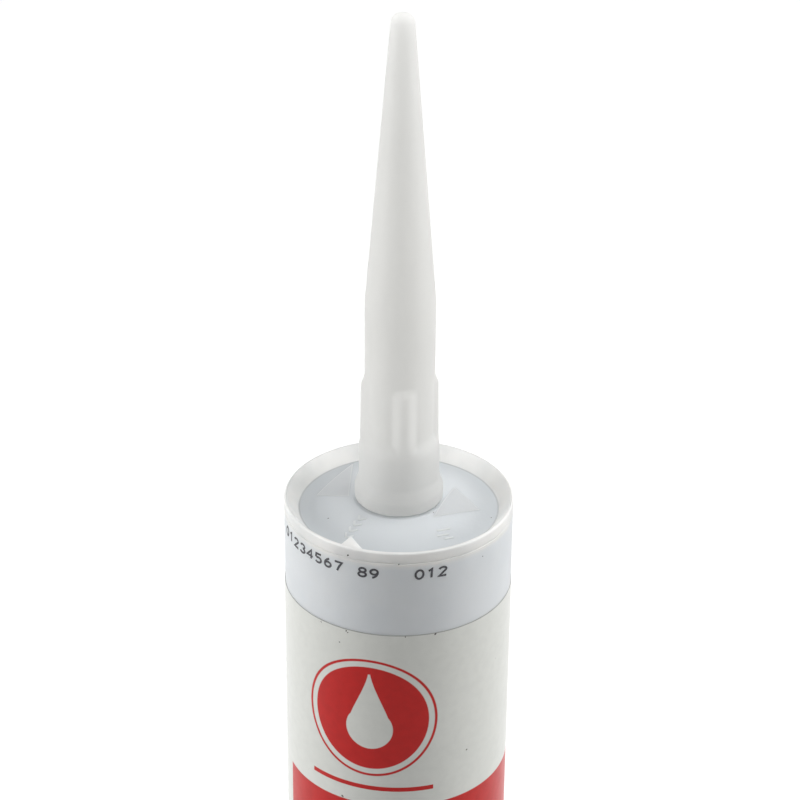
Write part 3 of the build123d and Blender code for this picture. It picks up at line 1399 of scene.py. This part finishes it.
@dataclass
class Nozzle:
    """The screwed-on nozzle: a flange, a collar with four grip fins, a stem and a long taper."""

    layout: Layout
    seat: float
    tone: Triple = (0.82, 0.82, 0.81)
    cloud: Triple = (0.8, 0.8, 0.79)
    glow_tone: Triple = (0.885, 0.884, 0.875)
    glow_share: float = 0.6
    bore_radius: float = 6.8
    collar_wall: float = 1.75
    collar_height: float = 13.6
    bore_height: float = 14.0
    shoulder_height: float = 2.2
    shoulder_round: float = 4.0
    flange_lip: float = 0.9
    flange_height: float = 3.2
    flange_flare: float = 2.6
    flange_round: float = 1.3
    stem_radius: float = 7.35
    stem_wall: float = 1.3
    stem_top: float = 46.5
    tip_radius: float = 2.275
    tip_round: float = 1.7
    tip_thickness: float = 1.6
    taper_wall: float = 1.15
    lead_in: float = 0.4
    fin_count: int = 4
    fin_azimuth: float = 8.5
    fin_width: float = 3.2
    fin_top: float = 29.4
    fin_slope: float = 1.9
    fin_proud: float = 0.8
    fin_soft: float = 1.35
    fin_inset: float = 0.15

    def build(self) -> bpy.types.Object:
        """Builds the nozzle.

        Returns:
            The nozzle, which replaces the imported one.
        """
        draft = MeshDraft()
        outline = self.section()
        low = self.seat + self.collar_height - self.shoulder_height - 1.0
        high = self.seat + self.fin_top + 1.0
        draft.lathe(refined(outline, 0.35, low, high), self.angles(), self.with_fins)
        finish = CollaredPlastic(
            "nozzle_plastic",
            roughness=0.48,
            specular=0.25,
            tone=self.tone,
            cloud=self.cloud,
            glow_share=self.glow_share,
            glow_tone=self.glow_tone,
            core_low=self.seat + self.flange_height,
            core_high=self.seat + self.bore_height + self.shoulder_height,
            core_reach=self.bore_radius + self.collar_wall,
        )
        return dressed(draft, "nozzle_body", finish, Slot.NOZZLE, Body.NOZZLE, "nozzle")

    def section(self) -> list[Point]:
        """The half section without its fins, from the tip down the outside and back up the inside.

        Returns:
            The outline.
        """
        seat, top = self.seat, self.layout.nozzle_top
        collar = self.bore_radius + self.collar_wall
        flange = collar + self.flange_lip
        inner_stem = self.stem_radius - self.stem_wall
        taper = (self.stem_radius - self.tip_radius) / (top - seat - self.stem_top)
        inner_tip = self.tip_radius + taper * self.tip_thickness - self.taper_wall
        return rounded([
            (0.0, top, 0.0),
            (self.tip_radius, top, self.tip_round),
            (self.stem_radius, seat + self.stem_top, 12.0),
            (self.stem_radius, seat + self.collar_height + self.shoulder_height, self.shoulder_round),
            (collar, seat + self.collar_height, self.shoulder_round),
            (collar, seat + self.flange_height + self.flange_flare, self.flange_flare),
            (flange, seat + self.flange_height, self.flange_round),
            (flange, seat, self.flange_round),
            (self.bore_radius + self.lead_in, seat, 0.1),
            (self.bore_radius, seat + self.lead_in, 0.1),
            (self.bore_radius, seat + self.bore_height, 0.3),
            (inner_stem, seat + self.bore_height + self.shoulder_height, 0.3),
            (inner_stem, seat + self.stem_top, 6.0),
            (inner_tip, top - self.tip_thickness, 0.3),
            (0.0, top - self.tip_thickness, 0.0),
        ])

    def angles(self) -> list[float]:
        """The angles of the mesh's columns, which crowd where the sides of the fins are.

        Returns:
            The angles, in radians.
        """
        sector = math.pi / self.fin_count
        side = math.asin(self.fin_width / 2 / (self.stem_radius + self.fin_proud / 2))
        inner = [side * (1 - (1 - step / 10) ** 1.3) for step in range(11)]
        outer = [side + (sector - side) * (step / 17) ** 1.9 for step in range(1, 17)]
        half = [*inner[1:], *outer]
        offsets = [-angle for angle in reversed(half)] + [0.0, *half, sector]
        start = math.radians(self.fin_azimuth) - math.pi / 2
        return [start + 2 * sector * fin + offset for fin in range(self.fin_count) for offset in offsets]

    def with_fins(self, r: float, z: float, angle: float) -> float:
        """The nozzle's radius with its fins.

        Args:
            r: The radius without them.
            z: The height.
            angle: The angle round the axis, in radians.

        Returns:
            The radius of the outer surface, or r on the inner one.
        """
        collar = self.bore_radius + self.collar_wall
        foot_height = self.seat + self.collar_height - self.shoulder_height
        tip_height = self.seat + self.fin_top - self.fin_slope
        tip = self.stem_radius + self.fin_proud
        outside = r > (self.bore_radius + self.stem_radius) / 2
        if not outside or not foot_height <= z <= self.seat + self.fin_top + self.fin_slope:
            return r
        share = (z - foot_height) / (tip_height - foot_height)
        edge = collar - self.fin_inset + (tip - collar + self.fin_inset) * share
        above = tip - (z - tip_height) * self.fin_proud / self.fin_slope
        edge = smaller(edge, above, 0.12)
        sector = math.tau / self.fin_count
        start = math.radians(self.fin_azimuth) - math.pi / 2
        offset = abs((angle - start + sector / 2) % sector - sector / 2)
        inside = (self.fin_width / 2 + self.fin_soft - r * math.sin(offset)) / (2 * self.fin_soft)
        share = min(1.0, max(0.0, inside))
        return r + max(0.0, edge - r) * share * share * (3 - 2 * share)


def smaller(first: float, second: float, blend: float) -> float:
    """The smaller of two values, rounded where they cross.

    Args:
        first: A value.
        second: A value.
        blend: How close the two are where the rounding starts.

    Returns:
        The smaller value.
    """
    share = max(blend - abs(first - second), 0.0) / blend
    return min(first, second) - share**2 * blend / 4


# ---------------------------------------------------------------- label, fill, piston, dirt


@dataclass
class Label:
    """The printed film, wrapped once round the barrel with its end lapped over its start at the back."""

    layout: Layout
    finish: LabelPrint
    thickness: float = 0.06
    lap: float = 9.0
    seam: float = 172.0
    step: float = 2.0

    def build(self) -> bpy.types.Object:
        """Builds the film.

        Returns:
            The film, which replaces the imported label.
        """
        lay = self.layout
        draft = MeshDraft()
        turn = 360.0 + self.lap
        count = round(turn / self.step)
        sections = []
        for index in range(count + 1):
            azimuth = self.seam - turn + turn * index / count
            ahead = azimuth - (self.seam - self.lap)
            lift = (self.thickness + 0.01) * min(1.0, max(0.0, (ahead + 4.0) / 4.0))
            outer = lay.label_radius - 0.01 + lift
            inner = outer - self.thickness
            sections.append([
                (*from_front(azimuth, r), z)
                for r, z in (
                    (inner, lay.label_low),
                    (outer, lay.label_low),
                    (outer, lay.label_low + 0.3),
                    (outer, lay.label_high - 0.3),
                    (outer, lay.label_high),
                    (inner, lay.label_high),
                )
            ])
        draft.sweep(sections)
        return dressed(draft, "label_film", self.finish, Slot.LABEL, Body.BARREL, "label")


@dataclass
class Fill:
    """The sealant between the piston and the head, and in the spout."""

    layout: Layout
    head: Head = Head()
    finish: PlainPaste = PlainPaste("sealant_paste", roughness=0.22, subsurface=0.5, scatter_mm=5.0)
    plug_radius: float = 2.95
    clearance: float = 0.05
    columns: int = 128

    def build(self) -> bpy.types.Object:
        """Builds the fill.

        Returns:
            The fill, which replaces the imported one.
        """
        lay, head = self.layout, self.head
        top = head.height(lay, 0.0) - head.thickness - self.clearance
        fall = head.slope(lay) * (lay.fill_radius - head.seat_radius)
        bottom = lay.fill_low + fall
        outline = rounded([
            (0.0, lay.fill_high, 0.0),
            (self.plug_radius, lay.fill_high, 0.3),
            (self.plug_radius, top, 0.3),
            (head.seat_radius, top, 1.0),
            (lay.fill_radius, top - fall, 0.5),
            (lay.fill_radius, lay.fill_low, 0.5),
            (head.seat_radius, bottom, 1.0),
            (0.0, bottom, 0.0),
        ])
        draft = MeshDraft()
        draft.lathe(outline, even_angles(self.columns))
        piece = draft.build("sealant_fill", self.finish.material())
        upper = (top - fall - 1.0) * MM
        bottom * MM
        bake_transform(piece)
        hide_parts("sealant")
        log.info("sealant_fill: %d faces, between barrel and piston", len(piece.data.polygons))
        return piece


@dataclass
class Piston:
    """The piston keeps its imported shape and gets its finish."""

    finish: MouldedPlastic = MouldedPlastic(
        "piston_plastic", roughness=0.4, tone=(0.83, 0.83, 0.81), cloud=(0.79, 0.79, 0.78), subsurface=0.3
    )

    def dress(self) -> None:
        """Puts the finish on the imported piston."""
        packed = frame["nodes"]["piston"]
        packed.data.materials.clear()
        packed.data.materials.append(self.finish.material())
        log.info("piston: packed shape, on %s", Body.PISTON.value)


@dataclass
class Dirt:
    """Small dark specks of dirt where the tube shows them."""

    layout: Layout
    head: Head = Head()
    finish: Spots = Spots("dirt", roughness=0.7, tone=(0.05, 0.048, 0.045))
    proud: float = 0.015

    def on_wall(self) -> bpy.types.Object:
        """Builds the specks on the barrel, its head and its label.

        Returns:
            The specks.
        """
        lay = self.layout
        draft = MeshDraft()
        bare, covered = on_cylinder(lay.barrel_radius), on_cylinder(lay.label_radius)
        for place, azimuth, drop, size in (
            (bare, -25.1, 1.9, 0.24),
            (bare, 0.3, 2.6, 0.14),
            (bare, 46.0, 5.0, 0.13),
            (covered, -26.0, 20.5, 0.2),
            (covered, -25.2, 20.8, 0.16),
            (covered, -41.0, 20.6, 0.14),
            (covered, 18.8, 20.3, 0.26),
            (covered, 3.8, 20.3, 0.14),
            (covered, -29.8, 23.8, 0.16),
            (covered, 38.1, 52.6, 0.2),
            (covered, -28.4, 63.6, 0.3),
        ):
            self.add_speck(draft, place, (azimuth, lay.rim - drop), size, lay.label_radius)
        for azimuth, radius, size in ((-64.4, 16.5, 0.16), (48.0, 9.9, 0.13), (76.0, 20.3, 0.14)):
            self.add_speck(draft, self.head.surface(lay), (azimuth, radius), size, radius)
        return dressed(draft, "barrel_specks", self.finish, Slot.BARREL, Body.BARREL)

    def add_speck(self, draft: MeshDraft, place: Place, centre: Point, size: float, radius: float) -> None:
        """Adds one speck with an uneven outline.

        Args:
            draft: The mesh to add it to.
            place: The surface that it lies on.
            centre: Where it is on that surface.
            size: Its mean radius.
            radius: The radius that its azimuth is measured at.
        """
        rings = []
        for height, share in ((-0.05, 1.0), (self.proud, 0.85)):
            ring = []
            for index in range(10):
                angle = math.tau * index / 10
                uneven = 1 + 0.25 * math.sin(2 * angle + centre[0]) + 0.12 * math.sin(5 * angle)
                reach = size * share * uneven
                across = math.degrees(reach * math.cos(angle) / radius)
                ring.append(place(centre[0] + across, centre[1] + reach * math.sin(angle), height))
            rings.append(ring)
        draft.sweep(rings)


# ---------------------------------------------------------------- studio


@dataclass
class Studio:
    """A plain pale floor, a white surround, soft light from above and both sides, and the camera."""

    layout: Layout
    floor_half: float = 6.0
    floor_white: float = 0.3
    floor_lift: float = 0.85
    front_light: float = 0.13
    back_light: float = 0.5
    distance: float = 524.4
    down: float = 27.86
    above_rim: float = 22.7
    lens: float = 112.65
    shift: float = 0.0005
    roll: float = 0.5

    def build(self) -> None:
        """Sets up the floor, the surround, the lamps, the camera and the colour view."""
        self.add_floor()
        self.add_surround()
        self.add_softbox("softbox_left", (-0.88, -0.17, 0.3), 0.5, 6.2)
        self.add_softbox("softbox_right", (0.88, -0.14, 0.3), 0.5, 4.7)
        self.add_softbox("softbox_top", (0.2, -0.05, 1.05), 0.6, 5.3)
        self.add_camera()
        bpy.context.scene.view_settings.view_transform = "Standard"
        log.info("studio: floor, surround, lamps and camera")

    def add_floor(self) -> None:
        """Adds the floor, which the camera sees as white where nothing shades it."""
        half = self.floor_half
        mesh = bpy.data.meshes.new("floor")
        corners = [(-half, -half, 0), (half, -half, 0), (half, half, 0), (-half, half, 0)]
        mesh.from_pydata(corners, [], [(0, 1, 2, 3)])
        floor = bpy.data.objects.new("floor", mesh)
        bpy.context.scene.collection.objects.link(floor)
        paper = bpy.data.materials.new("floor_paper")
        paper.use_nodes = True
        shader = Shader(paper.node_tree)
        tone = (self.floor_white,) * 3
        lift = shader.mix(self.seen(shader), (0.0,) * 3, (self.floor_lift,) * 3)
        inputs = {"Base Color": rgba(tone), "Roughness": 0.9, "Specular IOR Level": 0.1}
        inputs |= {"Emission Color": lift, "Emission Strength": 1.0}
        body = shader.node("ShaderNodeBsdfPrincipled", None, inputs)
        shader.node("ShaderNodeOutputMaterial", None, {"Surface": body.outputs[0]})
        mesh.materials.append(paper)
        floor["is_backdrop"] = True

    def seen(self, shader: Shader) -> Expr:
        """A mask of the rays that show a surface, directly or in gloss or through something clear.

        Args:
            shader: The node tree to add it to.

        Returns:
            The mask.
        """
        path = shader.node("ShaderNodeLightPath")
        names = ("Is Camera Ray", "Is Glossy Ray", "Is Transmission Ray")
        camera, glossy, through = (shader.value(path, name) for name in names)
        return camera | glossy | through

    def add_surround(self) -> None:
        """Adds the white surround, which lights the tube more from behind than from the front."""
        world = bpy.data.worlds.new("surround")
        world.use_nodes = True
        bpy.context.scene.world = world
        shader = Shader(world.node_tree)
        coordinates = shader.node("ShaderNodeTexCoord")
        split = shader.node("ShaderNodeSeparateXYZ", None, {0: coordinates.outputs["Generated"]})
        behind = shader.value(split, 1).step(-0.2, 0.5)
        light = shader.mix(behind, (self.front_light,) * 3, (self.back_light,) * 3)
        colour = shader.mix(self.seen(shader), light, (1.0, 1.0, 1.0))
        sky = shader.node("ShaderNodeBackground", None, {"Color": colour, "Strength": 1.0})
        shader.node("ShaderNodeOutputWorld", None, {"Surface": sky.outputs[0]})

    def add_softbox(self, name: str, place: Triple, size: float, power: float) -> None:
        """Adds a square soft lamp that points at the tube.

        Args:
            name: Its name.
            place: Where it is, in metres.
            size: Its side, in metres.
            power: Its power, in watts.
        """
        lamp = bpy.data.lights.new(name, "AREA")
        lamp.size = size
        lamp.energy = power
        holder = bpy.data.objects.new(name, lamp)
        bpy.context.scene.collection.objects.link(holder)
        holder.location = place
        aim = Vector((0.0, 0.0, 0.75 * self.layout.rim * MM)) - Vector(place)
        holder.rotation_euler = aim.to_track_quat("-Z", "Y").to_euler()

    def add_camera(self) -> None:
        """Adds the camera, which looks down at the nozzle end."""
        lens = bpy.data.cameras.new("camera")
        lens.lens = self.lens
        lens.shift_x = self.shift
        lens.clip_start = 0.02
        camera = bpy.data.objects.new("camera", lens)
        bpy.context.scene.collection.objects.link(camera)
        down = math.radians(self.down)
        target = Vector((0.0, 0.0, (self.layout.rim + self.above_rim) * MM))
        away = Vector((0.0, -math.cos(down), math.sin(down))) * self.distance * MM
        aim = (-away).to_track_quat("-Z", "Y").to_matrix()
        camera.matrix_world = (aim @ Matrix.Rotation(math.radians(self.roll), 3, "Z")).to_4x4()
        camera.location = target + away
        bpy.context.scene.camera = camera


def main() -> None:
    """Builds the tube and its studio."""
    logging.basicConfig(level=logging.INFO, format="%(name)s: %(message)s")
    layout = Layout.from_frame()
    head = Head()
    Studio(layout).build()
    Barrel(layout).build()
    MouldMarks(layout).build()
    InkCode(layout).build()
    Nozzle(layout, head.height(layout, 0.0)).build()
    film = {"radius": layout.label_radius, "top": layout.label_high}
    Label(layout, LabelPrint("label_print", roughness=0.3, specular=0.25, **film)).build()
    Fill(layout).build()
    Piston().dress()
    Dirt(layout).on_wall()
    boxes = {"cad": CAD_BOX, "visual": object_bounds()}
    {name: [list(corner) for corner in box] for name, box in boxes.items()}


if __name__ == "__main__":
    main()
